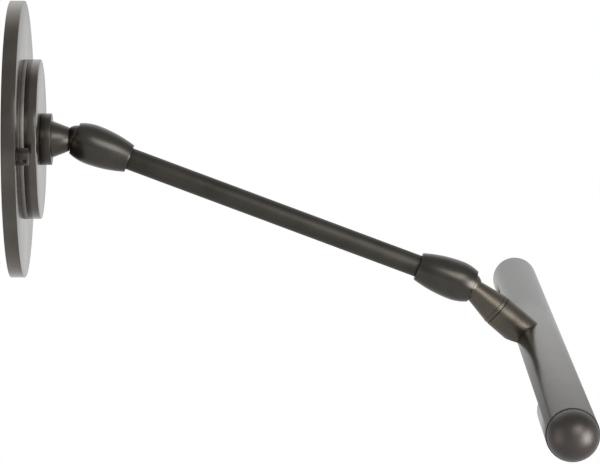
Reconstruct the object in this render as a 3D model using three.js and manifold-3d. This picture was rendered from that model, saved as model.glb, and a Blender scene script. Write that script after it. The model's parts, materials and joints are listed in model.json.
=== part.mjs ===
// Wall light for a bathroom mirror: a stepped round wall plate, a slim arm with a ball joint at each
// end, and a long tubular LED head on a swivel.  Millimetres, +Z up, +X out of the wall.  The origin is
// the centre of the wall plate, on the wall.  The arm hangs at the lower stop of both ball joints.
import * as THREE from "three";
import { mergeVertices } from "three/addons/utils/BufferGeometryUtils.js";
import Module from "manifold-3d";

const wasm = await Module();
wasm.setup();

// ---------------------------------------------------------------- driving dimensions (mm, degrees)
// wall plate
const PLATE_RADIUS = 63.5; // 127 mm plate, which hides a standard wall box
const PLATE_FACE = 1.5;
const PLATE_WALL = 2.0;
const PLATE_BEVEL = 0.5;
const SPACER_THICKNESS = 1.65;
const SPACER_WIDTH = 6;
const CANOPY_RADIUS = 36.62;
const CANOPY_DEPTH = 5.58;
const CANOPY_FACE = 2.0;
const CANOPY_WALL = 2.4;
const CANOPY_BEVEL = 0.4;
const COLLAR_RADIUS = 11.85;
const COLLAR_LENGTH = 4.75;

// fixings of the wall plate
const CLOCKING_DEG = 2.9; // the strap's slots let the plate settle this far from level
const FIXING_INSET = 11.5; // edge of the plate to each mounting stud
const STRAP_THICKNESS = 1.5;
const STRAP_WIDTH = 16;
const STRAP_END = 6; // from a mounting stud to the strap's end
const STRAP_BORE = 6.5;
const STRAP_GAP = 0.54; // front of the strap to the lock nut
const BOX_SLOT_INSET = 8; // mounting stud to the near end of each slot for the wall box's screws
const BOX_SLOT_LENGTH = 11;
const BOX_SLOT_WIDTH = 4.4;
const STUD_RADIUS = 1.95;
const STRAP_NUT_FLATS = 7;
const STRAP_NUT_HEIGHT = 2.4;
const CAP_NUT_RADIUS = 4.0;
const CAP_NUT_LENGTH = 4.8;
const CAP_NUT_CROWN = 1.0;
const CAP_NUT_BEVEL = 0.4;
const TOMMY_HOLE_RADIUS = 0.8;
const TOMMY_HOLE_DEPTH = 1.2;
const TOMMY_HOLE_DEG = 20;
const TOMMY_HOLE_SET = 1.54; // front of the nut to the middle of its hole
const EARTH_SCREW_INSET = 11; // far end of the slot to the earth screw
const EARTH_SCREW_RADIUS = 1.6;
const EARTH_HEAD_RADIUS = 3.2;
const EARTH_HEAD_HEIGHT = 1.8;

// threaded nipple that holds the discs, the collar and the first ball stud together
const NIPPLE_RADIUS = 4.9;
const NIPPLE_WALL = 1.8;
const NIPPLE_GRIP = 4.7; // length screwed into the ball stud
const LOCK_NUT_MARGIN = 1.8; // metal between the nut's bore and its flats
const LOCK_NUT_HEIGHT = 2.0;
const LOCK_WASHER_WIDTH = 3.3;
const LOCK_WASHER_THICKNESS = 0.7;

// ball joints, the same at both ends of the arm
const BALL_RADIUS = 6.35;
const LINER_THICKNESS = 0.3;
const LINER_FROM_DEG = 22;
const LINER_TO_DEG = 68;
const MOUTH_OFFSET = 1.3; // front of the retaining ring to the ball's centre
const MOUTH_WALL = 0.5;
const BELLY_WALL = 2.35;
const BELLY_AT = 8.5; // mouth to the barrel's widest section
const TAIL_WALL = 1.12;
const BARREL_TAIL = 9.1; // end of the chamber to the first barrel's tail
const HEAD_LIP = 1.0; // how far the second joint's barrel reaches over its ball past its ring
const RING_DEPTH = 1.9;
const CUP_RIM_AT = 3.2;
const CUP_FLOOR = 2.7;
const CUP_BORE_EASE = 0.6; // how much wider than the lead's bore each of these is, in radius
const LOCK_RING_EASE = 1.4;
const SPRING_LENGTH = 2.8;
const SPRING_METAL = 0.6;
const SPRING_WIDTH = 2.4;
const LOCK_RING_HEIGHT = 3.2;

// arm
const ARM_SPAN = 192; // ball centre to ball centre
const ARM_DROP_DEG = 20.55; // below level
const ARM_TUBE_RADIUS = 5.08;
const ARM_TUBE_WALL = 1.3;
const ARM_TUBE_SET = 0.6; // end of the chamber to the end of the tube
const LEAD_RADIUS = 1.7;

// first ball stud, on the wall plate
const WALL_STUD_REACH = 11.48; // back of its cone to the ball centre
const WALL_CONE_BASE = 8.5;
const WALL_CONE_STEP = 0.5; // from the groove behind the ball up to the cone
const WALL_NECK_DEPTH = 0.215; // from the ball down to the groove
const WALL_NECK_DEG = 56; // edge of the groove, from the stud's axis
const WALL_NECK_RUN = 0.2; // each slope of the groove

// second ball stud, which carries the head
const STEM_DROP_DEG = 41; // below level
const STEM_LENGTH = 18; // ball centre to the swivel face
const STEM_NECK_DEG = 52.2; // where the cone leaves the ball, from the stem's axis
const STEM_CONE_STEP = 0.2; // cone to band
const STEM_BAND_STEP = 0.1; // band to stub
const STEM_BAND_WIDTH = 1.8;
const JOURNAL_RADIUS = 4.5;
const JOURNAL_LENGTH = 8.5;
const GROOVE_DEPTH = 0.8;
const GROOVE_WIDTH = 3.2;
const GROOVE_AT = 4.8; // swivel face to the middle of the groove
const SEAM = 0.6;
const SWIVEL_RING_THICKNESS = 0.3;

// head
const STUB_RADIUS = 7.6;
const STUB_SEAT = 5.43; // depth of the screw holes in the stub
const STUB_FLOOR = 0.8; // metal left between the journal's bore and the screw holes
const GRUB_RADIUS = 1.3;
const GRUB_SOCKET_RADIUS = 0.7;
const GRUB_SOCKET_DEPTH = 1.2;
const HEAD_RADIUS = 11.17;
const HEAD_WALL = 1.2;
const HEAD_LENGTH = 464.3; // seam to seam, without the domes
const SLOT_HALF_DEG = 63.6; // half the angle that the light opening takes out of the tube
const SLOT_MARGIN = 59; // solid tube between each seam and the opening
const CAP_SEAM = 0.5;
const CAP_SPIGOT = 10;
const CAP_WALL = 2.1;
const STUB_SCREW_INSET = 2.25; // side of the stub to each screw's axis
const SCREW_RADIUS = 1.15;
const SCREW_HEAD_RADIUS = 2.0;
const SCREW_HEAD_HEIGHT = 1.4;
const SCREW_TIP_GAP = 0.73; // screw tip to the bottom of its hole
const CARRIER_PLAY = 0.57; // carrier to the tube's wall
const CARRIER_THICKNESS = 1.8;
const CARRIER_OVERHANG = 17; // past each end of the opening
const NOTCH_PLAY = 1.5; // stub screws' heads to the notch's ends
const BOARD_WIDTH = 9;
const BOARD_THICKNESS = 1.0;
const BOARD_MARGIN = 3;
const CHIP_SIZE = 2.8;
const CHIP_HEIGHT = 0.6;
const CHIP_PITCH = 20;
const CHIP_GAP = 1.7; // chips to the diffuser's edge
const LENS_PLAY = 0.64; // diffuser to the tube's wall
const LENS_THICKNESS = 1.2;
const LENS_CROWN = 1.0;
const LENS_RECESS = 0.366; // diffuser's edge inside the opening's plane
const LENS_OVERLAP = 7; // past each end of the opening
const BLOCK_LENGTH = 7.5;
const BLOCK_SCREW_LENGTH = 5;
const HEAD_LEAD_RADIUS = 1.0;
const HEAD_LEAD_REACH = 60;
const HEAD_LEAD_ENTRY = 1.5; // height at which the lead leaves the tube's wall
const HEAD_LEAD_BEND = 5.5; // tube's outside to where the lead has risen over the carrier
const HEAD_LEAD_LIFT = 1.0; // over the carrier

// clearances
const SEAT = 0.1; // between flat faces of the wall plate's stack
const PLAY = 0.3; // round screws and tubes, and between neighbours inside the arm and the head
const RUN = 0.1; // between the spherical faces of a ball joint
const LINER_PLAY = 0.15; // liner to cup, and to the chamber's wall
const LOCK_RING_PLAY = 0.2; // lock ring to the end of the chamber

// facets round a full turn
const FINE = 48; // discs of the wall plate
const SMOOTH = 32; // the spherical faces of the ball joints
const PLAIN = 24;
const COARSE = 12;
const HOLE_FACETS = 8;

// ---------------------------------------------------------------- places worked out from them
const toRad = THREE.MathUtils.degToRad;
const toDeg = THREE.MathUtils.radToDeg;

// Half the chord of a circle, at a distance from its centre.
const halfChord = (radius, distance) => Math.sqrt(radius ** 2 - distance ** 2);

// along X from the wall, for the plate's stack
const lockNutBack = STRAP_THICKNESS + STRAP_GAP;
const lockNutFront = lockNutBack + LOCK_NUT_HEIGHT;
const washerBack = lockNutFront + SEAT;
const washerFront = washerBack + LOCK_WASHER_THICKNESS;
const plateInside = washerFront + SEAT;
const plateFront = plateInside + PLATE_FACE;
const spacerBack = plateFront + SEAT;
const spacerFront = spacerBack + SPACER_THICKNESS;
const canopyBack = spacerFront + SEAT;
const canopyFront = canopyBack + CANOPY_DEPTH;
const collarBack = canopyFront + SEAT;
const collarFront = collarBack + COLLAR_LENGTH;
const studBack = collarFront + SEAT;
const wallBallX = studBack + WALL_STUD_REACH;
const nippleFront = studBack + NIPPLE_GRIP;
const nippleHole = NIPPLE_RADIUS + PLAY;

// across the wall plate, for its fixings
const fixingRadius = PLATE_RADIUS - FIXING_INSET;
const slotOuter = fixingRadius - BOX_SLOT_INSET;
const slotInner = slotOuter - BOX_SLOT_LENGTH;
const earthScrewAt = slotInner - EARTH_SCREW_INSET;
const capNutBack = plateFront + PLAY;
const capNutFront = capNutBack + CAP_NUT_LENGTH;
const studEnd = capNutFront - CAP_NUT_CROWN - PLAY;

// along X from the ball's centre, for a joint: +X runs along the arm, away from the mouth
const leadBore = LEAD_RADIUS + PLAY;
const socketRadius = BALL_RADIUS + RUN;
const linerRadius = socketRadius + LINER_THICKNESS;
const chamberRadius = linerRadius + LINER_PLAY;
const mouth = -MOUTH_OFFSET;
const cupBack = chamberRadius + CUP_FLOOR;
const cupBore = leadBore + CUP_BORE_EASE;
const springFrom = cupBack + PLAY;
const lockRingFrom = springFrom + SPRING_LENGTH + PLAY;
const chamberEnd = lockRingFrom + LOCK_RING_HEIGHT + LOCK_RING_PLAY;
const tail = chamberEnd + BARREL_TAIL;
const tailBore = ARM_TUBE_RADIUS + PLAY;
const tubeEnd = chamberEnd + ARM_TUBE_SET;

// along the stem from the second ball's centre
const bandRadius = STUB_RADIUS - STEM_BAND_STEP;
const stubFace = STEM_LENGTH + SEAM;
const journalEnd = STEM_LENGTH + JOURNAL_LENGTH;
const stubBoreEnd = journalEnd + PLAY;
const stubHoleEnd = stubBoreEnd + STUB_FLOOR;
const headAxis = stubHoleEnd + STUB_SEAT + HEAD_RADIUS;
const grubAt = STEM_LENGTH + GROOVE_AT;

// across the head from the tube's axis
const headInside = HEAD_RADIUS - HEAD_WALL;
const slotFlat = HEAD_RADIUS * Math.cos(toRad(SLOT_HALF_DEG));
const lensOutside = -slotFlat + LENS_RECESS;
const lensInside = lensOutside + LENS_THICKNESS;
const lensHalf = halfChord(headInside, lensOutside) - LENS_PLAY;
const boardBottom = lensInside + CHIP_GAP + CHIP_HEIGHT;
const boardTop = boardBottom + BOARD_THICKNESS;
const carrierBottom = boardTop + PLAY;
const carrierTop = carrierBottom + CARRIER_THICKNESS;
const carrierHalf = halfChord(headInside, carrierTop) - CARRIER_PLAY;
const screwHole = SCREW_RADIUS + PLAY;
const stubScrewAt = STUB_RADIUS - STUB_SCREW_INSET;
const stubScrewSeat = -headInside + PLAY;
const leadBend = -HEAD_RADIUS + HEAD_LEAD_BEND;

// along the head from its middle
const slotHalfLength = HEAD_LENGTH / 2 - SLOT_MARGIN;
const lensHalfLength = slotHalfLength + LENS_OVERLAP;
const carrierHalfLength = slotHalfLength + CARRIER_OVERHANG;
const blockAt = lensHalfLength + PLAY + BLOCK_LENGTH / 2;

// ---------------------------------------------------------------- materials
const finish = (color, roughness, metalness) =>
  new THREE.MeshStandardMaterial({ color, roughness, metalness });
const darkBronze = () => finish(0x45403b, 0.38, 0.9);
const paleMetal = () => finish(0x9a958e, 0.35, 0.9);
const zincSteel = () => finish(0x8d8f8f, 0.45, 1.0);
const springSteel = () => finish(0x6d6f72, 0.35, 1.0);
const greenSteel = () => finish(0x3d6b45, 0.5, 0.8);
const ptfe = () => finish(0xe8e6df, 0.6, 0.0);
const blackRubber = () => finish(0x17171a, 0.8, 0.0);
const rawAluminium = () => finish(0xb4b6b8, 0.4, 1.0);
const circuitBoard = () => finish(0xeceae2, 0.5, 0.0);
const opal = () => finish(0xf2f1ec, 0.4, 0.0);
const whiteNylon = () => finish(0xdddcd6, 0.6, 0.0);
const blackCable = () => finish(0x1d1d1f, 0.7, 0.0);

// ---------------------------------------------------------------- shape helpers
// A body turned about +X from an outline of [distance along X, radius] points, outside first.
function turned(outline, facets = PLAIN) {
  const points = outline.map(([along, radius]) => new THREE.Vector2(radius, along));
  return new THREE.LatheGeometry(points, facets).rotateZ(-Math.PI / 2);
}

const rod = (from, to, radius, facets = COARSE) =>
  turned([[from, 0], [from, radius], [to, radius], [to, 0]], facets);

const ring = (from, to, inner, outer, facets = PLAIN) =>
  turned([[from, outer], [to, outer], [to, inner], [from, inner], [from, outer]], facets);

// Points on a circle about (centre, height), from one angle to another, in degrees from +X.
function arc(centre, height, radius, fromDeg, toDeg, steps) {
  const points = [];
  for (let i = 0; i <= steps; i += 1) {
    const angle = toRad(fromDeg + ((toDeg - fromDeg) * i) / steps);
    points.push([centre + radius * Math.cos(angle), height + radius * Math.sin(angle)]);
  }
  return points;
}

// A prism along Y, centred on Y = 0, from a shape drawn in X and Z.
const prismY = (shape, length) =>
  new THREE.ExtrudeGeometry(shape, { depth: length, bevelEnabled: false, curveSegments: COARSE })
    .rotateX(Math.PI / 2)
    .translate(0, length / 2, 0);

// A prism along X that starts at X = from, from a shape drawn in Y (across) and Z (up).
const prismX = (shape, from, length, facets = COARSE) =>
  new THREE.ExtrudeGeometry(shape, {
    depth: length,
    bevelEnabled: false,
    curveSegments: facets,
  })
    .rotateX(Math.PI / 2)
    .rotateZ(Math.PI / 2)
    .translate(from, 0, 0);

const boxFrom = (low, high) =>
  new THREE.BoxGeometry(high[0] - low[0], high[1] - low[1], high[2] - low[2]).translate(
    (low[0] + high[0]) / 2,
    (low[1] + high[1]) / 2,
    (low[2] + high[2]) / 2,
  );

function outlineShape(points) {
  return new THREE.Shape(points.map(([x, y]) => new THREE.Vector2(x, y)));
}

function hexagon(cornerRadius) {
  const points = [];
  for (let side = 0; side < 6; side += 1) {
    const angle = toRad(60 * side);
    points.push([cornerRadius * Math.cos(angle), cornerRadius * Math.sin(angle)]);
  }
  return outlineShape(points);
}

function hexNut(flats, bore, from, height) {
  const shape = hexagon(flats / Math.sqrt(3));
  shape.holes.push(new THREE.Path().absarc(0, 0, bore, 0, 2 * Math.PI, true));
  return prismX(shape, from, height);
}

// A mesh as a solid that can be joined and cut.
function solid(geometry) {
  const bare = geometry.index ? geometry.toNonIndexed() : geometry.clone();
  bare.deleteAttribute("normal");
  bare.deleteAttribute("uv");
  const merged = mergeVertices(bare, 1e-4);
  const corners = merged.index.array;
  const kept = [];
  for (let i = 0; i < corners.length; i += 3) {
    const [a, b, c] = corners.slice(i, i + 3);
    if (a !== b && b !== c && c !== a) kept.push(a, b, c);
  }
  const vertProperties = merged.attributes.position.array;
  return new wasm.Manifold(
    new wasm.Mesh({ numProp: 3, vertProperties, triVerts: new Uint32Array(kept) }),
  );
}

function surface(body) {
  const mesh = body.getMesh();
  const geometry = new THREE.BufferGeometry();
  geometry.setAttribute("position", new THREE.BufferAttribute(mesh.vertProperties, 3));
  geometry.setIndex(new THREE.BufferAttribute(mesh.triVerts, 1));
  return geometry.toNonIndexed();
}

function cut(geometry, ...tools) {
  return surface(tools.reduce((body, tool) => body.subtract(solid(tool)), solid(geometry)));
}

function joined(geometry, ...others) {
  return surface(others.reduce((body, other) => body.add(solid(other)), solid(geometry)));
}

function place(parent, name, geometry, material) {
  const mesh = new THREE.Mesh(geometry, material);
  mesh.name = name;
  parent.add(mesh);
}

// ---------------------------------------------------------------- wall plate
const light = new THREE.Group();

// The strap, studs and nuts share the plate's small turn away from level.
const fixings = new THREE.Group();
fixings.rotation.x = toRad(CLOCKING_DEG);
light.add(fixings);

const sides = [
  ["near", -1],
  ["far", 1],
];

function studHole(side, radius, from, to) {
  return rod(from, to, radius)
    .translate(0, side * fixingRadius, 0)
    .rotateX(toRad(CLOCKING_DEG));
}

// Round dish with an open back; its rim rests on the wall.
function backplate() {
  const dish = turned(
    [
      [0, PLATE_RADIUS],
      [plateFront - PLATE_BEVEL, PLATE_RADIUS],
      [plateFront, PLATE_RADIUS - PLATE_BEVEL],
      [plateFront, nippleHole],
      [plateInside, nippleHole],
      [plateInside, PLATE_RADIUS - PLATE_WALL],
      [0, PLATE_RADIUS - PLATE_WALL],
      [0, PLATE_RADIUS],
    ],
    FINE,
  );
  const holes = sides.map(([, side]) =>
    studHole(side, STUD_RADIUS + 2 * PLAY, plateInside - 1, plateFront + 1),
  );
  return cut(dish, ...holes);
}

// Flat bar screwed to the wall box, with a wide bore for the supply wires.
function wallStrap() {
  const half = STRAP_WIDTH / 2;
  const end = fixingRadius + STRAP_END - half;
  const shape = new THREE.Shape();
  shape.moveTo(-end, -half);
  shape.lineTo(end, -half);
  shape.absarc(end, 0, half, -Math.PI / 2, Math.PI / 2, false);
  shape.lineTo(-end, half);
  shape.absarc(-end, 0, half, Math.PI / 2, (3 * Math.PI) / 2, false);
  const hole = (at, radius) =>
    shape.holes.push(new THREE.Path().absarc(at, 0, radius, 0, 2 * Math.PI, true));
  hole(0, STRAP_BORE);
  hole(earthScrewAt, EARTH_SCREW_RADIUS + PLAY);
  for (const [, side] of sides) {
    hole(side * fixingRadius, STUD_RADIUS + PLAY);
    const slotHalf = BOX_SLOT_WIDTH / 2;
    const low = Math.min(side * slotInner, side * slotOuter) + slotHalf;
    const high = Math.max(side * slotInner, side * slotOuter) - slotHalf;
    const slot = new THREE.Path();
    slot.moveTo(low, slotHalf);
    slot.lineTo(high, slotHalf);
    slot.absarc(high, 0, slotHalf, Math.PI / 2, -Math.PI / 2, true);
    slot.lineTo(low, -slotHalf);
    slot.absarc(low, 0, slotHalf, -Math.PI / 2, -(3 * Math.PI) / 2, true);
    shape.holes.push(slot);
  }
  return prismX(shape, 0, STRAP_THICKNESS);
}

function earthScrew() {
  const headBack = STRAP_THICKNESS + PLAY;
  const headFront = headBack + EARTH_HEAD_HEIGHT;
  return turned(
    [
      [PLAY, 0],
      [PLAY, EARTH_SCREW_RADIUS],
      [headBack, EARTH_SCREW_RADIUS],
      [headBack, EARTH_HEAD_RADIUS],
      [headBack + EARTH_HEAD_HEIGHT / 2, EARTH_HEAD_RADIUS],
      [headFront, EARTH_HEAD_RADIUS / 2],
      [headFront, 0],
    ],
    COARSE,
  ).translate(0, earthScrewAt, 0);
}

// Round nut that hides a mounting stud's end, with a blind hole across it for a tommy bar.
function capNut() {
  const bore = STUD_RADIUS + PLAY;
  const body = turned([
    [capNutBack, CAP_NUT_RADIUS],
    [capNutFront - CAP_NUT_BEVEL, CAP_NUT_RADIUS],
    [capNutFront, CAP_NUT_RADIUS - CAP_NUT_BEVEL],
    [capNutFront, 0],
    [capNutFront - CAP_NUT_CROWN, 0],
    [capNutFront - CAP_NUT_CROWN, bore],
    [capNutBack, bore],
    [capNutBack, CAP_NUT_RADIUS],
  ]);
  const bottom = CAP_NUT_RADIUS - TOMMY_HOLE_DEPTH;
  const tommyHole = rod(bottom, CAP_NUT_RADIUS + 1, TOMMY_HOLE_RADIUS, HOLE_FACETS)
    .rotateZ(-Math.PI / 2)
    .rotateX(toRad(TOMMY_HOLE_DEG))
    .translate(capNutFront - TOMMY_HOLE_SET, 0, 0);
  return cut(body, tommyHole);
}

// Shallow cup with an open back, which stands on the spacer ring.
function canopyDisc() {
  const inside = canopyFront - CANOPY_FACE;
  return turned(
    [
      [canopyBack, CANOPY_RADIUS],
      [canopyFront - CANOPY_BEVEL, CANOPY_RADIUS],
      [canopyFront, CANOPY_RADIUS - CANOPY_BEVEL],
      [canopyFront, nippleHole],
      [inside, nippleHole],
      [inside, CANOPY_RADIUS - CANOPY_WALL],
      [canopyBack, CANOPY_RADIUS - CANOPY_WALL],
      [canopyBack, CANOPY_RADIUS],
    ],
    FINE,
  );
}

// Cone and ball in one piece, bored for the lead and threaded for the nipple.
function wallBallStud() {
  const ballFrontDeg = toDeg(Math.asin(leadBore / BALL_RADIUS));
  const neckX = wallBallX - BALL_RADIUS * Math.cos(toRad(WALL_NECK_DEG));
  const neck = BALL_RADIUS * Math.sin(toRad(WALL_NECK_DEG)) - WALL_NECK_DEPTH;
  const socket = NIPPLE_RADIUS + SEAT;
  const socketEnd = nippleFront + PLAY;
  const back = [studBack, WALL_CONE_BASE];
  return turned(
    [
      back,
      [neckX - 2 * WALL_NECK_RUN, neck + WALL_CONE_STEP],
      [neckX - WALL_NECK_RUN, neck],
      ...arc(wallBallX, 0, BALL_RADIUS, 180 - WALL_NECK_DEG, ballFrontDeg, 9),
      [socketEnd, leadBore],
      [socketEnd, socket],
      [studBack, socket],
      back,
    ],
    SMOOTH,
  );
}

place(light, "backplate", backplate(), darkBronze());
place(fixings, "wall_strap", wallStrap(), zincSteel());
place(fixings, "earth_screw", earthScrew(), greenSteel());
for (const [where, side] of sides) {
  const moved = (geometry) => geometry.translate(0, side * fixingRadius, 0);
  const nutBack = STRAP_THICKNESS + PLAY;
  const nut = hexNut(STRAP_NUT_FLATS, STUD_RADIUS + PLAY, nutBack, STRAP_NUT_HEIGHT);
  place(fixings, `mounting_stud_${where}`, moved(rod(PLAY, studEnd, STUD_RADIUS)), zincSteel());
  place(fixings, `strap_nut_${where}`, moved(nut), zincSteel());
  place(fixings, `cap_nut_${where}`, moved(capNut()), darkBronze());
}
place(
  light,
  "spacer_ring",
  ring(spacerBack, spacerFront, CANOPY_RADIUS - SPACER_WIDTH, CANOPY_RADIUS, FINE),
  paleMetal(),
);
place(light, "canopy_disc", canopyDisc(), darkBronze());
place(light, "collar", ring(collarBack, collarFront, nippleHole, COLLAR_RADIUS), darkBronze());
place(
  light,
  "nipple",
  ring(lockNutBack, nippleFront, NIPPLE_RADIUS - NIPPLE_WALL, NIPPLE_RADIUS),
  zincSteel(),
);
place(
  light,
  "nipple_lock_nut",
  hexNut(2 * (nippleHole + LOCK_NUT_MARGIN), nippleHole, lockNutBack, LOCK_NUT_HEIGHT),
  zincSteel(),
);
place(
  light,
  "nipple_washer",
  ring(washerBack, washerFront, nippleHole, nippleHole + LOCK_WASHER_WIDTH),
  zincSteel(),
);
place(light, "wall_ball_stud", wallBallStud(), darkBronze());
place(
  light,
  "wall_lead",
  rod(lockNutBack, wallBallX + BALL_RADIUS - 1, LEAD_RADIUS),
  blackCable(),
);

// ---------------------------------------------------------------- ball joints and arm
// Egg-shaped shell: a short arc swells from the mouth, a long one narrows to the tail.  The lip is
// how far it reaches past the retaining ring.
function barrel(lip) {
  const bellyRadius = chamberRadius + BELLY_WALL;
  const front = mouth - lip;
  const back = tail - lip;
  const belly = front + BELLY_AT;
  const swell = BELLY_WALL - MOUTH_WALL;
  const taper = bellyRadius - (tailBore + TAIL_WALL);
  const taperLength = back - belly;
  const frontRadius = (BELLY_AT ** 2 + swell ** 2) / (2 * swell);
  const rearRadius = (taperLength ** 2 + taper ** 2) / (2 * taper);
  const frontDeg = toDeg(Math.asin(BELLY_AT / frontRadius));
  const rearDeg = toDeg(Math.asin(taperLength / rearRadius));
  const swelling = arc(belly, bellyRadius - frontRadius, frontRadius, 90 + frontDeg, 90, 4);
  const narrowing = arc(belly, bellyRadius - rearRadius, rearRadius, 90, 90 - rearDeg, 5).slice(1);
  return turned([
    ...swelling,
    ...narrowing,
    [back, tailBore],
    [chamberEnd, tailBore],
    [chamberEnd, chamberRadius],
    [front, chamberRadius],
    swelling[0],
  ]);
}

// Threaded ring with a spherical seat, which keeps the ball in the barrel's mouth.
function retainingRing() {
  const back = mouth + RING_DEPTH;
  const outer = chamberRadius - RUN;
  const fromDeg = toDeg(Math.acos(back / socketRadius));
  const mouthDeg = toDeg(Math.acos(mouth / socketRadius));
  return turned(
    [
      [mouth, outer],
      [back, outer],
      ...arc(0, 0, socketRadius, fromDeg, mouthDeg, 3),
      [mouth, outer],
    ],
    SMOOTH,
  );
}

// Thin spherical sleeve round the ball.
function liner() {
  const outer = arc(0, 0, linerRadius, LINER_TO_DEG, LINER_FROM_DEG, 5);
  const inner = arc(0, 0, socketRadius, LINER_FROM_DEG, LINER_TO_DEG, 5);
  return turned([...outer, ...inner, outer[0]], SMOOTH);
}

// Cup that the spring presses against the liner.
function pressureCup() {
  const hollow = linerRadius + LINER_PLAY;
  const outer = chamberRadius - RUN;
  const fromDeg = toDeg(Math.asin(cupBore / hollow));
  const rimDeg = toDeg(Math.acos(CUP_RIM_AT / hollow));
  return turned(
    [
      [CUP_RIM_AT, outer],
      [cupBack, outer],
      [cupBack, cupBore],
      ...arc(0, 0, hollow, fromDeg, rimDeg, 4),
      [CUP_RIM_AT, outer],
    ],
    SMOOTH,
  );
}

// Pair of conical spring washers, rim to rim.
function discSpring() {
  const outer = chamberRadius - PLAY;
  const inner = outer - SPRING_WIDTH;
  const springTo = springFrom + SPRING_LENGTH;
  const middle = (springFrom + springTo) / 2;
  const rim = SPRING_METAL / 2;
  return turned([
    [springFrom, inner],
    [middle - rim, outer],
    [middle + rim, outer],
    [springTo, inner],
    [springTo - SPRING_METAL, inner],
    [middle, outer - 2 * SPRING_METAL],
    [springFrom + SPRING_METAL, inner],
    [springFrom, inner],
  ]);
}

const lockRing = () =>
  ring(
    lockRingFrom,
    lockRingFrom + LOCK_RING_HEIGHT,
    leadBore + LOCK_RING_EASE,
    chamberRadius - RUN,
  );

const arm = new THREE.Group();
arm.position.set(wallBallX, 0, 0);
arm.rotation.y = toRad(ARM_DROP_DEG);
light.add(arm);

// The second joint is the first one turned end for end.
const farEnd = new THREE.Group();
farEnd.position.set(ARM_SPAN, 0, 0);
farEnd.rotation.y = Math.PI;
arm.add(farEnd);

const joints = [
  ["wall", arm, 0],
  ["head", farEnd, HEAD_LIP],
];
for (const [joint, frame, lip] of joints) {
  place(frame, `${joint}_barrel`, barrel(lip), darkBronze());
  place(frame, `${joint}_retaining_ring`, retainingRing(), darkBronze());
  place(frame, `${joint}_liner`, liner(), ptfe());
  place(frame, `${joint}_pressure_cup`, pressureCup(), whiteNylon());
  place(frame, `${joint}_disc_spring`, discSpring(), springSteel());
  place(frame, `${joint}_lock_ring`, lockRing(), zincSteel());
}
place(
  arm,
  "arm_tube",
  ring(tubeEnd, ARM_SPAN - tubeEnd, ARM_TUBE_RADIUS - ARM_TUBE_WALL, ARM_TUBE_RADIUS),
  darkBronze(),
);
place(arm, "arm_lead", rod(cupBack, ARM_SPAN - cupBack, LEAD_RADIUS), blackCable());

// ---------------------------------------------------------------- stem and swivel
// The stem's frame has its origin at the second ball's centre and +X towards the head's axis.
const stem = new THREE.Group();
const armDrop = toRad(ARM_DROP_DEG);
stem.position.set(wallBallX + ARM_SPAN * Math.cos(armDrop), 0, -ARM_SPAN * Math.sin(armDrop));
stem.rotation.y = toRad(STEM_DROP_DEG);
light.add(stem);

// Ball, cone, band and grooved journal in one piece, bored for the lead.
function headBallStud() {
  const boreDeg = toDeg(Math.asin(leadBore / BALL_RADIUS));
  const ball = arc(0, 0, BALL_RADIUS, 180 - boreDeg, STEM_NECK_DEG, 9);
  const bandFrom = STEM_LENGTH - STEM_BAND_WIDTH;
  const grooveFrom = grubAt - GROOVE_WIDTH / 2;
  const grooveTo = grubAt + GROOVE_WIDTH / 2;
  return turned(
    [
      ...ball,
      [bandFrom, bandRadius - STEM_CONE_STEP],
      [bandFrom, bandRadius],
      [STEM_LENGTH, bandRadius],
      [STEM_LENGTH, JOURNAL_RADIUS],
      [grooveFrom, JOURNAL_RADIUS],
      [grooveFrom, JOURNAL_RADIUS - GROOVE_DEPTH],
      [grooveTo, JOURNAL_RADIUS - GROOVE_DEPTH],
      [grooveTo, JOURNAL_RADIUS],
      [journalEnd, JOURNAL_RADIUS],
      [journalEnd, leadBore],
      ball[0],
    ],
    SMOOTH,
  );
}

const swivelRingFrom = STEM_LENGTH + (SEAM - SWIVEL_RING_THICKNESS) / 2;
const swivelRing = ring(
  swivelRingFrom,
  swivelRingFrom + SWIVEL_RING_THICKNESS,
  JOURNAL_RADIUS + RUN,
  bandRadius - PLAY,
);
place(stem, "head_ball_stud", headBallStud(), darkBronze());
place(stem, "swivel_ring", swivelRing, blackRubber());

// ---------------------------------------------------------------- head
// The head's frame is the stem's, moved to the head's axis: the tube runs along Y, the stub comes
// from -X, and the light opening faces -Z.
const head = new THREE.Group();
head.position.set(headAxis, 0, 0);
stem.add(head);

// Stub between the swivel and the tube: saddled onto the tube, and trimmed at the light opening.
function headStub() {
  const face = stubFace - headAxis;
  const boreEnd = stubBoreEnd - headAxis;
  const holeEnd = stubHoleEnd - headAxis;
  const boreRadius = JOURNAL_RADIUS + PLAY;
  const overTube = -halfChord(HEAD_RADIUS, STUB_RADIUS) + 1;
  const body = turned([
    [face, STUB_RADIUS],
    [overTube, STUB_RADIUS],
    [overTube, leadBore],
    [boreEnd, leadBore],
    [boreEnd, boreRadius],
    [face, boreRadius],
    [face, STUB_RADIUS],
  ]);
  const reach = 3 * HEAD_RADIUS;
  const edge = toRad(270 - SLOT_HALF_DEG);
  const below = outlineShape([
    [0, 0],
    [reach * Math.cos(edge), reach * Math.sin(edge)],
    [reach * Math.cos(edge), -reach],
    [0, -reach],
  ]);
  const saddle = prismY(
    new THREE.Shape().absarc(0, 0, HEAD_RADIUS + PLAY, 0, 2 * Math.PI, false),
    3 * STUB_RADIUS,
  );
  const grubHole = rod(JOURNAL_RADIUS, STUB_RADIUS + 1, GRUB_RADIUS + PLAY)
    .rotateZ(Math.PI / 2)
    .translate(grubAt - headAxis, 0, 0);
  const screwHoles = sides.map(([, side]) =>
    rod(holeEnd, -HEAD_RADIUS + 1, screwHole).translate(0, side * stubScrewAt, 0),
  );
  return cut(body, saddle, prismY(below, 3 * STUB_RADIUS), grubHole, ...screwHoles);
}

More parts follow.
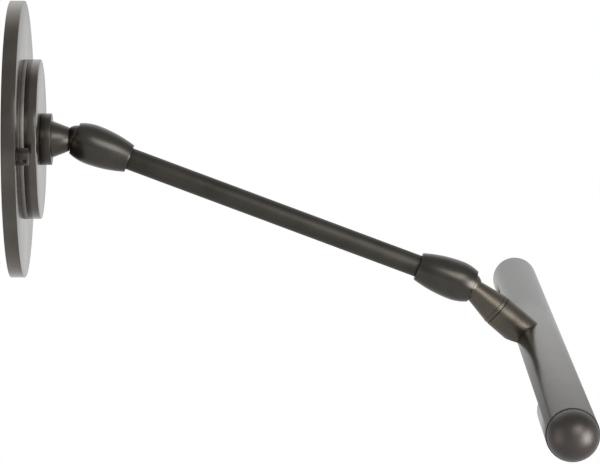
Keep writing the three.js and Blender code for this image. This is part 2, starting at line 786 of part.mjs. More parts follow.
// Grub screw whose tip runs in the journal's groove.
function swivelGrub() {
  const tip = JOURNAL_RADIUS - GROOVE_DEPTH + PLAY;
  const top = STUB_RADIUS - PLAY;
  const socket = prismX(hexagon(GRUB_SOCKET_RADIUS), top - GRUB_SOCKET_DEPTH, 2);
  return cut(rod(tip, top, GRUB_RADIUS), socket)
    .rotateZ(Math.PI / 2)
    .translate(grubAt - headAxis, 0, 0);
}

// Tube with a long flat-bottomed opening and the stub's screw and wire holes.
function headTube() {
  const length = HEAD_LENGTH - CAP_SEAM;
  const tube = ring(-length / 2, length / 2, headInside, HEAD_RADIUS).rotateZ(Math.PI / 2);
  const wide = 2 * HEAD_RADIUS;
  const opening = boxFrom([-wide, -slotHalfLength, -wide], [wide, slotHalfLength, -slotFlat]);
  const wireHole = rod(-wide, -1, leadBore);
  const screwHoles = sides.map(([, side]) =>
    rod(-wide, -1, screwHole).translate(0, side * stubScrewAt, 0),
  );
  return cut(tube, opening, wireHole, ...screwHoles);
}

function panScrew(length) {
  return turned(
    [
      [-length, 0],
      [-length, SCREW_RADIUS],
      [0, SCREW_RADIUS],
      [0, SCREW_HEAD_RADIUS],
      [SCREW_HEAD_HEIGHT / 2, SCREW_HEAD_RADIUS],
      [SCREW_HEAD_HEIGHT, SCREW_HEAD_RADIUS / 2],
      [SCREW_HEAD_HEIGHT, 0],
    ],
    COARSE,
  );
}

// Hollow dome with a spigot that fits in the tube.
function endCap(side) {
  const seam = HEAD_LENGTH / 2;
  const base = seam + CAP_SEAM / 2;
  const baseDeg = toDeg(Math.acos(CAP_SEAM / 2 / HEAD_RADIUS));
  const spigot = headInside - PLAY;
  const hollow = spigot - CAP_WALL;
  const back = base - CAP_SPIGOT;
  const geometry = turned([
    [back, spigot],
    [base, spigot],
    ...arc(seam, 0, HEAD_RADIUS, baseDeg, 0, 5),
    [base + hollow / 2, 0],
    [base, hollow],
    [back, hollow],
    [back, spigot],
  ]);
  return geometry.rotateZ((side * Math.PI) / 2);
}

const capGasket = (side) =>
  ring(
    HEAD_LENGTH / 2 - CAP_SEAM / 4,
    HEAD_LENGTH / 2 + CAP_SEAM / 4,
    headInside,
    HEAD_RADIUS - PLAY,
  ).rotateZ((side * Math.PI) / 2);

// Aluminium bar that carries the board, with a notch beside the stub's screws.
function ledCarrier() {
  const bar = boxFrom(
    [-carrierHalf, -carrierHalfLength, carrierBottom],
    [carrierHalf, carrierHalfLength, carrierTop],
  );
  const notchHalf = stubScrewAt + SCREW_HEAD_RADIUS + NOTCH_PLAY;
  const notch = boxFrom(
    [-HEAD_RADIUS, -notchHalf, carrierBottom - 1],
    [leadBend, notchHalf, carrierTop + 1],
  );
  const screwHoles = sides.map(([, side]) =>
    rod(carrierBottom - 1, carrierTop + 1, screwHole)
      .rotateY(-Math.PI / 2)
      .translate(0, side * blockAt, 0),
  );
  return cut(bar, notch, ...screwHoles);
}

// Board with a row of light-emitting chips on its lower face.
function ledBoard() {
  const half = slotHalfLength - BOARD_MARGIN;
  const halfWidth = BOARD_WIDTH / 2;
  const board = boxFrom([-halfWidth, -half, boardBottom], [halfWidth, half, boardTop]);
  const perSide = Math.floor((half - CHIP_SIZE) / CHIP_PITCH);
  const chips = [];
  for (let i = -perSide; i <= perSide; i += 1) {
    const at = i * CHIP_PITCH;
    const chipHalf = CHIP_SIZE / 2;
    const low = [-chipHalf, at - chipHalf, boardBottom - CHIP_HEIGHT];
    chips.push(boxFrom(low, [chipHalf, at + chipHalf, boardBottom + BOARD_THICKNESS / 2]));
  }
  return joined(board, ...chips);
}

// Opal cover, slightly crowned outwards.
function diffuser() {
  const shape = new THREE.Shape();
  shape.moveTo(-lensHalf, lensInside);
  shape.lineTo(-lensHalf, lensOutside);
  shape.quadraticCurveTo(0, lensOutside - 2 * LENS_CROWN, lensHalf, lensOutside);
  shape.lineTo(lensHalf, lensInside);
  shape.quadraticCurveTo(0, lensInside - LENS_CROWN, -lensHalf, lensInside);
  return prismY(shape, 2 * lensHalfLength);
}

// Half-round block that closes one end of the opening and holds the carrier.
function lensBlock(side) {
  const radius = headInside - PLAY;
  const shape = new THREE.Shape();
  const edge = Math.asin(boardTop / radius);
  shape.absarc(0, 0, radius, edge, -Math.PI - edge, true);
  const block = prismY(shape, BLOCK_LENGTH);
  const hole = rod(boardTop - BLOCK_SCREW_LENGTH, boardTop + 1, screwHole).rotateY(-Math.PI / 2);
  return cut(block, hole).translate(0, side * blockAt, 0);
}

// Lead from the stub, over the carrier, to the middle of the board's first half.
function headLead() {
  const over = carrierTop + HEAD_LEAD_LIFT + PLAY + HEAD_LEAD_RADIUS;
  const rise = -halfChord(headInside - HEAD_LEAD_RADIUS - PLAY, HEAD_LEAD_ENTRY);
  const route = new THREE.CatmullRomCurve3([
    new THREE.Vector3(-HEAD_RADIUS - HEAD_LEAD_BEND, 0, 0),
    new THREE.Vector3(-HEAD_RADIUS, 0, 0),
    new THREE.Vector3(rise, 0, HEAD_LEAD_ENTRY),
    new THREE.Vector3(leadBend, HEAD_LEAD_REACH / 20, over),
    new THREE.Vector3(leadBend / 2, HEAD_LEAD_REACH / 4, over),
    new THREE.Vector3(0, HEAD_LEAD_REACH / 2, over),
    new THREE.Vector3(0, HEAD_LEAD_REACH, over),
  ]);
  const section = new THREE.Shape().absarc(0, 0, HEAD_LEAD_RADIUS, 0, 2 * Math.PI, false);
  return new THREE.ExtrudeGeometry(section, { steps: 20, extrudePath: route, curveSegments: 4 });
}

place(head, "head_stub", headStub(), darkBronze());
place(head, "swivel_grub_screw", swivelGrub(), springSteel());
place(head, "head_tube", headTube(), darkBronze());
place(head, "led_carrier", ledCarrier(), rawAluminium());
place(head, "led_board", ledBoard(), circuitBoard());
place(head, "diffuser", diffuser(), opal());
place(head, "head_lead", headLead(), blackCable());
for (const [where, side] of sides) {
  place(head, `end_cap_${where}`, endCap(side), darkBronze());
  place(head, `end_cap_gasket_${where}`, capGasket(side), blackRubber());
  place(head, `lens_block_${where}`, lensBlock(side), whiteNylon());
  const stubScrewTip = stubHoleEnd - headAxis + SCREW_TIP_GAP;
  const stubScrew = panScrew(stubScrewSeat - stubScrewTip).translate(
    stubScrewSeat,
    side * stubScrewAt,
    0,
  );
  place(head, `stub_screw_${where}`, stubScrew, springSteel());
  const carrierScrew = panScrew(CARRIER_THICKNESS + BLOCK_SCREW_LENGTH - 1)
    .rotateY(-Math.PI / 2)
    .translate(0, side * blockAt, carrierTop + PLAY);
  place(head, `carrier_screw_${where}`, carrierScrew, springSteel());
}

export default light;
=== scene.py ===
"""Mirror light: looks.  A dark bronze wall light with a stepped round plate, an arm between two ball
joints, and a tubular LED head.  Sizes below are millimetres; everything in the scene is metres."""

import json
from math import acos, asin, atan2, cos, degrees, pi, radians, sin, sqrt

import bpy
from mathutils import Matrix, Vector


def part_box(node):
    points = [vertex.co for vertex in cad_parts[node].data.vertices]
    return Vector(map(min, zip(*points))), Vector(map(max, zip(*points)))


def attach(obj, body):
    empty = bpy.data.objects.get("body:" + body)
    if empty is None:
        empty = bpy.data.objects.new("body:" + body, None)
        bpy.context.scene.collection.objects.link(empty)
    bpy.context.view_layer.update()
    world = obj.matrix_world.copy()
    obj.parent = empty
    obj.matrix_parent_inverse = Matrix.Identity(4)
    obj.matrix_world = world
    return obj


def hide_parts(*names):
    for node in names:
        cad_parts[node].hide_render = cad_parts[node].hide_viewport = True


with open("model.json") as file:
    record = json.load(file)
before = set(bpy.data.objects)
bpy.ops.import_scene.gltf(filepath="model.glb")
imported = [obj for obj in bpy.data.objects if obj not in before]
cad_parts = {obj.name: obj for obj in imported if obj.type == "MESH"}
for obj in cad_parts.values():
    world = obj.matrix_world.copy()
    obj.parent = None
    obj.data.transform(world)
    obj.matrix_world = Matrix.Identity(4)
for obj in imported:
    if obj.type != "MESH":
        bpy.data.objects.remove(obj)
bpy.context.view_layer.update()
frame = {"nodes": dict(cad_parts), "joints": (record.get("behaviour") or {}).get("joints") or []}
MM = 0.001

# ------------------------------------------------------------------ places taken from the frame
JOINTS = {joint["name"]: joint for joint in frame["joints"]}
WALL_BALL = Vector(JOINTS["arm_tilt"]["pos_m"])
HEAD_BALL = Vector(JOINTS["head_tilt"]["pos_m"])
ARM_AXIS = Vector(JOINTS["arm_roll"]["axis"]).normalized()
STEM_AXIS = Vector(JOINTS["head_swivel"]["axis"]).normalized()
ARM_SPAN = (HEAD_BALL - WALL_BALL).length / MM


def span(node, axis):
    """A CAD node's lowest and highest place along one axis, in millimetres."""
    low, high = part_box(node)
    return low[axis] / MM, high[axis] / MM


def aimed(origin, direction):
    """A frame at origin whose X runs along direction, which lies in the XZ plane."""
    drop = atan2(-direction.z, direction.x)
    return Matrix.Translation(origin) @ Matrix.Rotation(drop, 4, "Y")


TUBE_LOW, TUBE_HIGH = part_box("head_tube")
HEAD_CENTRE = HEAD_BALL + STEM_AXIS * (
    (TUBE_LOW + TUBE_HIGH) / 2 - HEAD_BALL
).dot(STEM_AXIS)
HEAD_OFFSET = (HEAD_CENTRE - HEAD_BALL).length / MM

WALL = Matrix.Identity(4)
ARM = aimed(WALL_BALL, ARM_AXIS)
ARM_FAR = aimed(HEAD_BALL, ARM_AXIS) @ Matrix.Rotation(pi, 4, "Y")
STEM = aimed(HEAD_BALL, STEM_AXIS)
HEAD = STEM @ Matrix.Translation((HEAD_OFFSET * MM, 0, 0))
HEAD_ALONG = HEAD @ Matrix.Rotation(pi / 2, 4, "Z")
CLOCKING = Matrix.Rotation(radians(2.9), 4, "X")

# ------------------------------------------------------------------ sizes (mm)
BALL_RADIUS = 6.35
SOCKET_RADIUS = 6.45
WIRE_BORE = 2.0
MOUTH = -1.3
LIPS = {"wall": 0.0, "head": 1.0}  # how far each barrel reaches over its ball past the ring
MOUTH_RADIUS = 7.4
BELLY_RADIUS = 9.25
BELLY_AT = 8.5
TAIL_RADIUS = 6.5
BARREL_LENGTH = 26.8
CHAMBER_RADIUS = 6.9
CHAMBER_DEPTH = 17.7
ARM_TUBE_RADIUS = 5.08
ARM_TUBE_BORE = 3.78
HEAD_RADIUS = 11.14
HEAD_BORE = 9.97
DOME_BASE = 10.76  # the cap is a little smaller than the tube, and the black seal shows round it
SLOT_HALF_DEG = 63.6
SLOT_FLAT = HEAD_RADIUS * cos(radians(SLOT_HALF_DEG))
SLOT_HALF_LENGTH = 173.15
HEAD_SEAM = 232.15  # middle of the head to the centre of each dome
HEAD_TUBE_HALF = 231.9
CAP_SPIGOT = 10
CAP_BORE = 7.5
LENS_HALF_WIDTH = 8.2
LENS_BOTTOM, LENS_TOP = -4.6, -3.4
LENS_OVERLAP = 7  # past each end of the opening
LENS_CROWN = 1.0
STUB_RADIUS = 7.6
JOURNAL_RADIUS = 4.5
STEM_FACE = 18.0
JOURNAL_LENGTH = 8.5
GROOVE_FROM, GROOVE_TO, GROOVE_DEPTH = 3.2, 6.4, 0.8  # in the journal, from the swivel face
BAND_WIDTH, BAND_RADIUS, BAND_CONE_RADIUS, BAND_SEAM_RADIUS = 1.8, 7.5, 7.3, 7.22
STEM_NECK = 5.02
GRUB_AT = 4.8
NIPPLE_RADIUS = 4.9
NIPPLE_HOLE = NIPPLE_RADIUS + 0.3
PLATE_FACE, PLATE_WALL = 1.5, 2.0
CANOPY_FACE, CANOPY_WALL = 2.0, 2.4
SPACER_WIDTH = 6
FIXING_RADIUS = 52.0
STUD_HOLE = 2.55
CONE_BASE = 8.5
CAP_NUT_RADIUS, CAP_NUT_BORE, CAP_NUT_CROWN = 4.0, 2.25, 1.0
TOMMY_RADIUS, TOMMY_BOTTOM = 0.8, 2.8
RING_DEPTH = 1.9
BALL_BORE_DEG = degrees(asin(WIRE_BORE / BALL_RADIUS))
TOUCH = 0.03  # between pieces that rest on each other
ROUND = 128  # facets of a large disc
TURNED = 96


# ------------------------------------------------------------------ modelling by operators
def only(piece):
    bpy.ops.object.select_all(action="DESELECT")
    piece.select_set(True)
    bpy.context.view_layer.objects.active = piece


def edit(piece):
    only(piece)
    bpy.ops.object.mode_set(mode="EDIT")
    bpy.ops.mesh.select_mode(type="VERT")


def object_mode():
    bpy.ops.object.mode_set(mode="OBJECT")


def apply_modifiers(piece):
    only(piece)
    for modifier in list(piece.modifiers):
        bpy.ops.object.modifier_apply(modifier=modifier.name)


def settle(piece, place):
    """Puts a piece modelled at the origin in its place, with the place in its mesh."""
    only(piece)
    piece.matrix_world = place
    bpy.ops.object.transform_apply(location=True, rotation=True, scale=True)
    return piece


def tidy(piece):
    edit(piece)
    bpy.ops.mesh.select_all(action="SELECT")
    bpy.ops.mesh.remove_doubles(threshold=0.002 * MM)
    bpy.ops.mesh.normals_make_consistent(inside=False)
    object_mode()


def turned(name, outline, steps=TURNED):
    """A body turned about X: one vertex drawn out along the half outline, then spun right round."""
    bpy.ops.object.select_all(action="DESELECT")
    bpy.ops.mesh.primitive_plane_add(size=MM)
    piece = bpy.context.object
    piece.name = name
    edit(piece)
    bpy.ops.mesh.select_all(action="SELECT")
    bpy.ops.mesh.merge(type="CENTER")
    bpy.ops.transform.translate(value=(outline[0][0] * MM, 0, outline[0][1] * MM))
    for (x0, r0), (x1, r1) in zip(outline, outline[1:]):
        step = ((x1 - x0) * MM, 0, (r1 - r0) * MM)
        bpy.ops.mesh.extrude_vertices_move(TRANSFORM_OT_translate={"value": step})
    bpy.ops.mesh.select_all(action="SELECT")
    bpy.ops.mesh.remove_doubles(threshold=0.002 * MM)
    bpy.ops.mesh.select_all(action="SELECT")
    bpy.ops.mesh.spin(steps=steps, angle=2 * pi, center=(0, 0, 0), axis=(1, 0, 0), use_auto_merge=True)
    object_mode()
    tidy(piece)
    return piece


def ringed(name, low, high, inner, outer, steps=TURNED):
    corners = [(low, outer), (high, outer), (high, inner), (low, inner), (low, outer)]
    return turned(name, corners, steps)


def rodded(name, low, high, radius, steps=TURNED):
    return turned(name, [(low, 0), (low, radius), (high, radius), (high, 0)], steps)


def arc(centre, height, radius, start, end, count):
    """Points on a circle about (centre, height), between two angles in degrees from +X."""
    angles = [radians(start + (end - start) * i / count) for i in range(count + 1)]
    return [(centre + radius * cos(a), height + radius * sin(a)) for a in angles]


def block(name, low, high):
    bpy.ops.object.select_all(action="DESELECT")
    bpy.ops.mesh.primitive_cube_add(size=1)
    piece = bpy.context.object
    piece.name = name
    piece.scale = [(b - a) * MM for a, b in zip(low, high)]
    piece.location = [(a + b) / 2 * MM for a, b in zip(low, high)]
    bpy.ops.object.transform_apply(location=True, rotation=True, scale=True)
    return piece


def cut(piece, *cutters):
    for cutter in cutters:
        modifier = piece.modifiers.new("cut", "BOOLEAN")
        modifier.operation = "DIFFERENCE"
        modifier.solver = "EXACT"
        modifier.object = cutter
        apply_modifiers(piece)
        bpy.data.objects.remove(cutter)
    return piece


def soften(piece, width, segments=3, angle=30):
    """Rounds every edge sharper than the angle, as a deburred edge is."""
    modifier = piece.modifiers.new("edges", "BEVEL")
    modifier.width = width * MM
    modifier.segments = segments
    modifier.limit_method = "ANGLE"
    modifier.angle_limit = radians(angle)
    modifier.use_clamp_overlap = True
    apply_modifiers(piece)
    return piece


def smooth(piece, angle=32):
    only(piece)
    bpy.ops.object.shade_smooth_by_angle(angle=radians(angle))
    return piece


def finish_piece(piece, place, body, slot, material, *nodes):
    """Places a piece, hangs it on its body, and lets it stand for its CAD nodes."""
    settle(piece, place)
    smooth(piece)
    piece.data.materials.clear()
    piece.data.materials.append(material)
    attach(piece, body)
    if nodes:
        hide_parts(*nodes)
    return piece


# ------------------------------------------------------------------ materials
def srgb(hex_colour):
    """An sRGB hex colour as linear RGBA."""
    channels = [int(hex_colour[i : i + 2], 16) / 255 for i in (1, 3, 5)]
    linear = [c / 12.92 if c <= 0.04045 else ((c + 0.055) / 1.055) ** 2.4 for c in channels]
    return (*linear, 1.0)


def per_mm(size):
    """Noise scale for a pattern of that size in millimetres, on Object coordinates."""
    return 1 / (size * MM)


def add(tree, kind, links=(), **settings):
    """Adds a node; settings are its properties or its inputs, links are (input, socket) pairs."""
    node = tree.nodes.new(kind)
    for key, value in settings.items():
        if hasattr(node, key):
            setattr(node, key, value)
        else:
            node.inputs[key.replace("_", " ")].default_value = value
    for socket, source in links:
        tree.links.new(source, node.inputs[socket])
    return node


def blank(name):
    material = bpy.data.materials.new(name)
    material.use_nodes = True
    tree = material.node_tree
    tree.nodes.clear()
    shader = add(tree, "ShaderNodeBsdfPrincipled")
    add(tree, "ShaderNodeOutputMaterial", [("Surface", shader.outputs["BSDF"])])
    return material, tree, shader


def ramp(tree, source, *stops):
    node = add(tree, "ShaderNodeValToRGB", [("Fac", source)])
    elements = node.color_ramp.elements
    while len(elements) < len(stops):
        elements.new(0.5)
    for element, (position, colour) in zip(elements, stops):
        element.position = position
        element.color = colour
    return node.outputs["Color"]


def grained(tree, place, along, around):
    """Object coordinates turned to a piece's axis and stretched: grain sizes in mm along and across it."""
    coordinates = add(tree, "ShaderNodeTexCoord")
    back = place.inverted()
    turn = add(
        tree,
        "ShaderNodeMapping",
        [("Vector", coordinates.outputs["Object"])],
        Location=back.to_translation(),
        Rotation=back.to_euler(),
    )
    stretch = add(
        tree,
        "ShaderNodeMapping",
        [("Vector", turn.outputs["Vector"])],
        Scale=(per_mm(along), per_mm(around), per_mm(around)),
    )
    return turn.outputs["Vector"], stretch.outputs["Vector"]


def bronze(name, place, along, around, light, dark, rough, mark_depth, cloudy=0.05):
    """Dark bronze finish on metal: a chemical patina under satin lacquer, which leaves a warm black-brown
    surface, a little cloudy, that turns pale at a glancing angle; the tool or the brush leaves fine marks."""
    material, tree, shader = blank(name)
    local, grain = grained(tree, place, along, around)
    clouds = add(tree, "ShaderNodeTexNoise", [("Vector", local)], Scale=per_mm(14), Detail=3.0)
    fine = add(tree, "ShaderNodeTexNoise", [("Vector", grain)], Scale=1.0, Detail=2.0)
    colour = ramp(tree, clouds.outputs["Fac"], (0.3, srgb(dark)), (0.7, srgb(light)))
    tree.links.new(colour, shader.inputs["Base Color"])
    mixed = add(
        tree,
        "ShaderNodeMix",
        [(2, clouds.outputs["Fac"]), (3, fine.outputs["Fac"])],
        data_type="FLOAT",
    )
    mixed.inputs[0].default_value = 0.4
    roughness = add(tree, "ShaderNodeMapRange", [("Value", mixed.outputs[0])])
    roughness.inputs["From Min"].default_value = 0.3
    roughness.inputs["From Max"].default_value = 0.7
    roughness.inputs["To Min"].default_value = rough - cloudy
    roughness.inputs["To Max"].default_value = rough + cloudy
    tree.links.new(roughness.outputs["Result"], shader.inputs["Roughness"])
    bump = add(tree, "ShaderNodeBump", [("Height", fine.outputs["Fac"])], Strength=0.35)
    bump.inputs["Distance"].default_value = mark_depth * MM
    tree.links.new(bump.outputs["Normal"], shader.inputs["Normal"])
    shader.inputs["Metallic"].default_value = 1.0
    return material


LIGHT_BRONZE, DARK_BRONZE = "#4b4742", "#3f3c38"
TUBE_LIGHT, TUBE_DARK = "#45423d", "#3b3935"
# Turned brass: rings of tool marks round the axis, drawn 0.4 mm apart because the real ones are finer
# than the render shows.
TURNED_ALONG, TURNED_AROUND = 0.4, 60
wall_turned = bronze(
    "bronze_turned_wall", WALL, TURNED_ALONG, TURNED_AROUND, LIGHT_BRONZE, DARK_BRONZE, 0.32, 0.002
)
arm_turned = bronze("bronze_turned_arm", ARM, TURNED_ALONG, TURNED_AROUND, "#4b4844", "#403e3a", 0.3, 0.002)
stem_turned = bronze(
    "bronze_turned_stem", STEM, TURNED_ALONG, TURNED_AROUND, "#5b554d", "#4e4942", 0.36, 0.002
)
# Drawn tube, brushed lengthwise: streaks 0.5 mm wide that run along the tube.
BRUSHED_ALONG, BRUSHED_ACROSS = 40, 0.5
arm_drawn = bronze("bronze_drawn_arm", ARM, BRUSHED_ALONG, BRUSHED_ACROSS, TUBE_LIGHT, TUBE_DARK, 0.5, 0.003)
head_drawn = bronze(
    "bronze_drawn_head",
    HEAD_ALONG,
    BRUSHED_ALONG,
    BRUSHED_ACROSS,
    LIGHT_BRONZE,
    DARK_BRONZE,
    0.24,
    0.0004,
    0.008,
)
head_turned = bronze(
    "bronze_turned_cap", HEAD_ALONG, TURNED_ALONG, TURNED_AROUND, "#514c49", "#45413e", 0.42, 0.002
)
# Pressed and lacquered discs are the smoothest surfaces of the light.
plate_bronze = bronze("bronze_pressed_plate", WALL, 20, 20, "#5d5954", "#534f4a", 0.2, 0.0008, 0.02)


def plated(name, light, dark, rough, metallic=1.0):
    """Zinc-plated or bare steel: a crystalline grey sheen, slightly mottled."""
    material, tree, shader = blank(name)
    coordinates = add(tree, "ShaderNodeTexCoord")
    mottle = add(
        tree,
        "ShaderNodeTexNoise",
        [("Vector", coordinates.outputs["Object"])],
        Scale=per_mm(3),
        Detail=4.0,
    )
    colour = ramp(tree, mottle.outputs["Fac"], (0.3, srgb(dark)), (0.7, srgb(light)))
    tree.links.new(colour, shader.inputs["Base Color"])
    roughness = add(tree, "ShaderNodeMapRange", [("Value", mottle.outputs["Fac"])])
    roughness.inputs["To Min"].default_value = rough - 0.08
    roughness.inputs["To Max"].default_value = rough + 0.08
    tree.links.new(roughness.outputs["Result"], shader.inputs["Roughness"])
    shader.inputs["Metallic"].default_value = metallic
    return material


zinc = plated("zinc_plated_steel", "#b9bbbd", "#96999c", 0.38)
spring = plated("oiled_spring_steel", "#84878a", "#6b6d70", 0.32)
pale = plated("satin_steel_ring", "#8a8580", "#7c7772", 0.5)
green = plated("green_chromate_steel", "#3f7a4b", "#326640", 0.42)
extruded = plated("extruded_aluminium", "#c4c6c8", "#aeb0b3", 0.36)


def moulded(name, light, dark, rough, grain_mm, depth=0.01):
    """Moulded plastic or rubber: an even colour with the mould's fine spark-eroded grain."""
    material, tree, shader = blank(name)
    coordinates = add(tree, "ShaderNodeTexCoord")
    grain = add(
        tree,
        "ShaderNodeTexNoise",
        [("Vector", coordinates.outputs["Object"])],
        Scale=per_mm(grain_mm),
        Detail=3.0,
    )
    colour = ramp(tree, grain.outputs["Fac"], (0.3, srgb(dark)), (0.7, srgb(light)))
    tree.links.new(colour, shader.inputs["Base Color"])
    bump = add(tree, "ShaderNodeBump", [("Height", grain.outputs["Fac"])], Strength=0.3)
    bump.inputs["Distance"].default_value = depth * MM
    tree.links.new(bump.outputs["Normal"], shader.inputs["Normal"])
    shader.inputs["Roughness"].default_value = rough
    return material


ptfe = moulded("moulded_ptfe", "#efece4", "#e6e3da", 0.5, 0.6)
nylon = moulded("moulded_nylon", "#e2dfd8", "#d8d5cd", 0.5, 0.6)
rubber = moulded("black_nitrile_rubber", "#1b1b1d", "#141415", 0.6, 0.5)
cable = moulded("black_cable_sheath", "#242426", "#1c1c1e", 0.55, 0.8)
board = moulded("white_solder_mask", "#f1efe8", "#e9e7df", 0.4, 1.2)
opal = moulded("opal_acrylic", "#f4f3ee", "#efeee8", 0.32, 0.9)


# ------------------------------------------------------------------ camera, light, floor
TENT_SIDES, TENT_TOP, TENT_FRONT, FLOOR_REFLECTED = 0.92, 1.85, 0.82, 0.9


def multiply(tree, first, second):
    return add(tree, "ShaderNodeMath", [(0, first), (1, second)], operation="MULTIPLY").outputs[0]


def add_output(tree, kind, seen, reflected):
    """White where the camera looks straight at it, and the tent's own grey in reflections."""
    path = add(tree, "ShaderNodeLightPath")
    mix = add(tree, "ShaderNodeMixShader")
    tree.links.new(path.outputs["Is Camera Ray"], mix.inputs[0])
    tree.links.new(reflected, mix.inputs[1])
    tree.links.new(seen, mix.inputs[2])
    add(tree, kind, [("Surface", mix.outputs[0])])


def studio():
    camera_data = bpy.data.cameras.new("camera")
    camera_data.sensor_width = 36
    camera_data.lens = 235.57
    camera_data.clip_end = 60
    camera = bpy.data.objects.new("camera", camera_data)
    camera.location = (0.13885, -1.79373, 0.18136)
    camera.rotation_euler = (radians(90 - 7.126), 0, radians(0.2008))
    bpy.context.scene.collection.objects.link(camera)
    bpy.context.scene.camera = camera

    scene = bpy.context.scene
    scene.view_settings.view_transform = "Standard"
    scene.view_settings.look = "None"
    world = bpy.data.worlds.new("white_tent")
    world.use_nodes = True
    tree = world.node_tree
    tree.nodes.clear()
    # The tent: an even grey all round, darker at the front and brighter above the back.
    direction = add(tree, "ShaderNodeTexCoord")
    parts = add(tree, "ShaderNodeSeparateXYZ", [("Vector", direction.outputs["Generated"])])
    back = add(tree, "ShaderNodeMapRange", [("Value", parts.outputs["Y"])], interpolation_type="SMOOTHSTEP")
    back.inputs["From Min"].default_value = 0.1
    back.inputs["From Max"].default_value = 1.0
    raised = multiply(tree, parts.outputs["Z"], back.outputs["Result"])
    overhead = add(tree, "ShaderNodeMapRange", [("Value", raised)], interpolation_type="SMOOTHSTEP")
    overhead.inputs["From Min"].default_value = 0.05
    overhead.inputs["From Max"].default_value = 0.6
    overhead.inputs["To Min"].default_value = TENT_SIDES
    overhead.inputs["To Max"].default_value = TENT_TOP
    shade = add(tree, "ShaderNodeMapRange", [("Value", back.outputs["Result"])])
    shade.inputs["To Min"].default_value = TENT_FRONT
    strength = multiply(tree, overhead.outputs["Result"], shade.outputs["Result"])
    tent = add(tree, "ShaderNodeBackground", [("Strength", strength)])
    seen = add(tree, "ShaderNodeBackground", Color=(1, 1, 1, 1))
    add_output(tree, "ShaderNodeOutputWorld", seen.outputs[0], tent.outputs[0])
    scene.world = world

    bpy.ops.object.select_all(action="DESELECT")
    bpy.ops.mesh.primitive_plane_add(size=60, location=(0, 0, -1.6))
    floor = bpy.context.object
    floor.name = "floor"
    material = bpy.data.materials.new("white_paper_floor")
    material.use_nodes = True
    tree = material.node_tree
    tree.nodes.clear()
    paper = add(tree, "ShaderNodeEmission", Color=(1, 1, 1, 1), Strength=1.0)
    reflected = add(tree, "ShaderNodeEmission", Color=(1, 1, 1, 1), Strength=FLOOR_REFLECTED)
    add_output(tree, "ShaderNodeOutputMaterial", paper.outputs[0], reflected.outputs[0])
    floor.data.materials.append(material)

    middle = Vector((0.13, 0, -0.03))

    def softbox(name, azimuth, elevation, distance, width, height, radiance):
        """A panel seen from the light's middle: degrees right of the camera, and degrees up."""
        turn, lift = radians(azimuth), radians(elevation)
        away = Vector((sin(turn) * cos(lift), -cos(turn) * cos(lift), sin(lift)))
        data = bpy.data.lights.new(name, "AREA")
        data.shape = "RECTANGLE"
        data.size = width
        data.size_y = height
        data.energy = radiance * pi * width * height
        lamp = bpy.data.objects.new(name, data)
        lamp.location = middle + away * distance
        lamp.rotation_euler = (-away).to_track_quat("-Z", "Y").to_euler()
        bpy.context.scene.collection.objects.link(lamp)

    softbox("right_softbox", 56, -6, 1.5, 0.8, 0.9, 10.0)
    softbox("top_softbox", 26, 28, 1.6, 0.9, 0.7, 4.6)
    softbox("left_panel", -60, 0, 1.5, 1.0, 1.4, 1.1)


studio()


# ------------------------------------------------------------------ wall plate
def dish_outline(low, high, radius, face, wall):
    """A shallow dish that is open at its low end."""
    return [
        (low, radius),
        (high, radius),
        (high, NIPPLE_HOLE),
        (high - face, NIPPLE_HOLE),
        (high - face, radius - wall),
        (low, radius - wall),
        (low, radius),
    ]


def backplate():
    low, high = span("backplate", 0)
    radius = span("backplate", 2)[1]
    plate = turned("wall_plate_dish", dish_outline(low, high, radius, PLATE_FACE, PLATE_WALL), ROUND)
    holes = []
    for side in (-1, 1):
        hole = rodded("hole", high - 3, high + 1, STUD_HOLE, 32)
        place = CLOCKING @ Matrix.Translation((0, side * FIXING_RADIUS * MM, 0))
        holes.append(settle(hole, place))
    cut(plate, *holes)
    soften(plate, 0.45)
    finish_piece(plate, WALL, "wall_plate", "bronze_plate", plate_bronze, "backplate")


def discs():
    radius = span("spacer_ring", 2)[1]
    plate_front = span("backplate", 0)[1]
    back = span("canopy_disc", 0)[0]
    inner = radius - SPACER_WIDTH
    ring = ringed("spacer_ring_turned", plate_front + TOUCH, back - TOUCH, inner, radius, ROUND)
    soften(ring, 0.06, 2)
    finish_piece(ring, WALL, "wall_plate", "pale_metal", pale, "spacer_ring")

    low, high = span("canopy_disc", 0)
    radius = span("canopy_disc", 2)[1]
    outline = dish_outline(low, high, radius, CANOPY_FACE, CANOPY_WALL)
    disc = turned("canopy_disc_pressed", outline, ROUND)
    soften(disc, 0.4)
    finish_piece(disc, WALL, "wall_plate", "bronze_plate", plate_bronze, "canopy_disc")

    front = span("collar", 0)[1]
    radius = span("collar", 2)[1]
    collar = turned(
        "collar_turned",
        [
            (high + TOUCH, radius),
            (front, radius),
            (front, NIPPLE_HOLE),
            (high + TOUCH, NIPPLE_HOLE),
            (high + TOUCH, radius),
        ],
    )
    soften(collar, 0.3, angle=50)
    finish_piece(collar, WALL, "wall_plate", "bronze_turned", wall_turned, "collar")


def wall_stud():
    collar_front = span("collar", 0)[1]
    ball_x = WALL_BALL.x / MM
    back = collar_front + TOUCH
    socket_end = back + 5
    socket = NIPPLE_RADIUS + 0.1
    neck_deg = degrees(acos(-3.55 / BALL_RADIUS))
    outline = [
        (back, CONE_BASE),
        (ball_x - 3.85, 5.5),
        (ball_x - 3.7, 5.2),
        *arc(ball_x, 0, BALL_RADIUS, neck_deg, BALL_BORE_DEG, 28),
        (socket_end, WIRE_BORE),
        (socket_end, socket),
        (back, socket),
        (back, CONE_BASE),
    ]
    stud = turned("wall_ball_stud_turned", outline)
    soften(stud, 0.12, 2, 40)
    finish_piece(stud, WALL, "wall_plate", "bronze_turned", wall_turned, "wall_ball_stud")


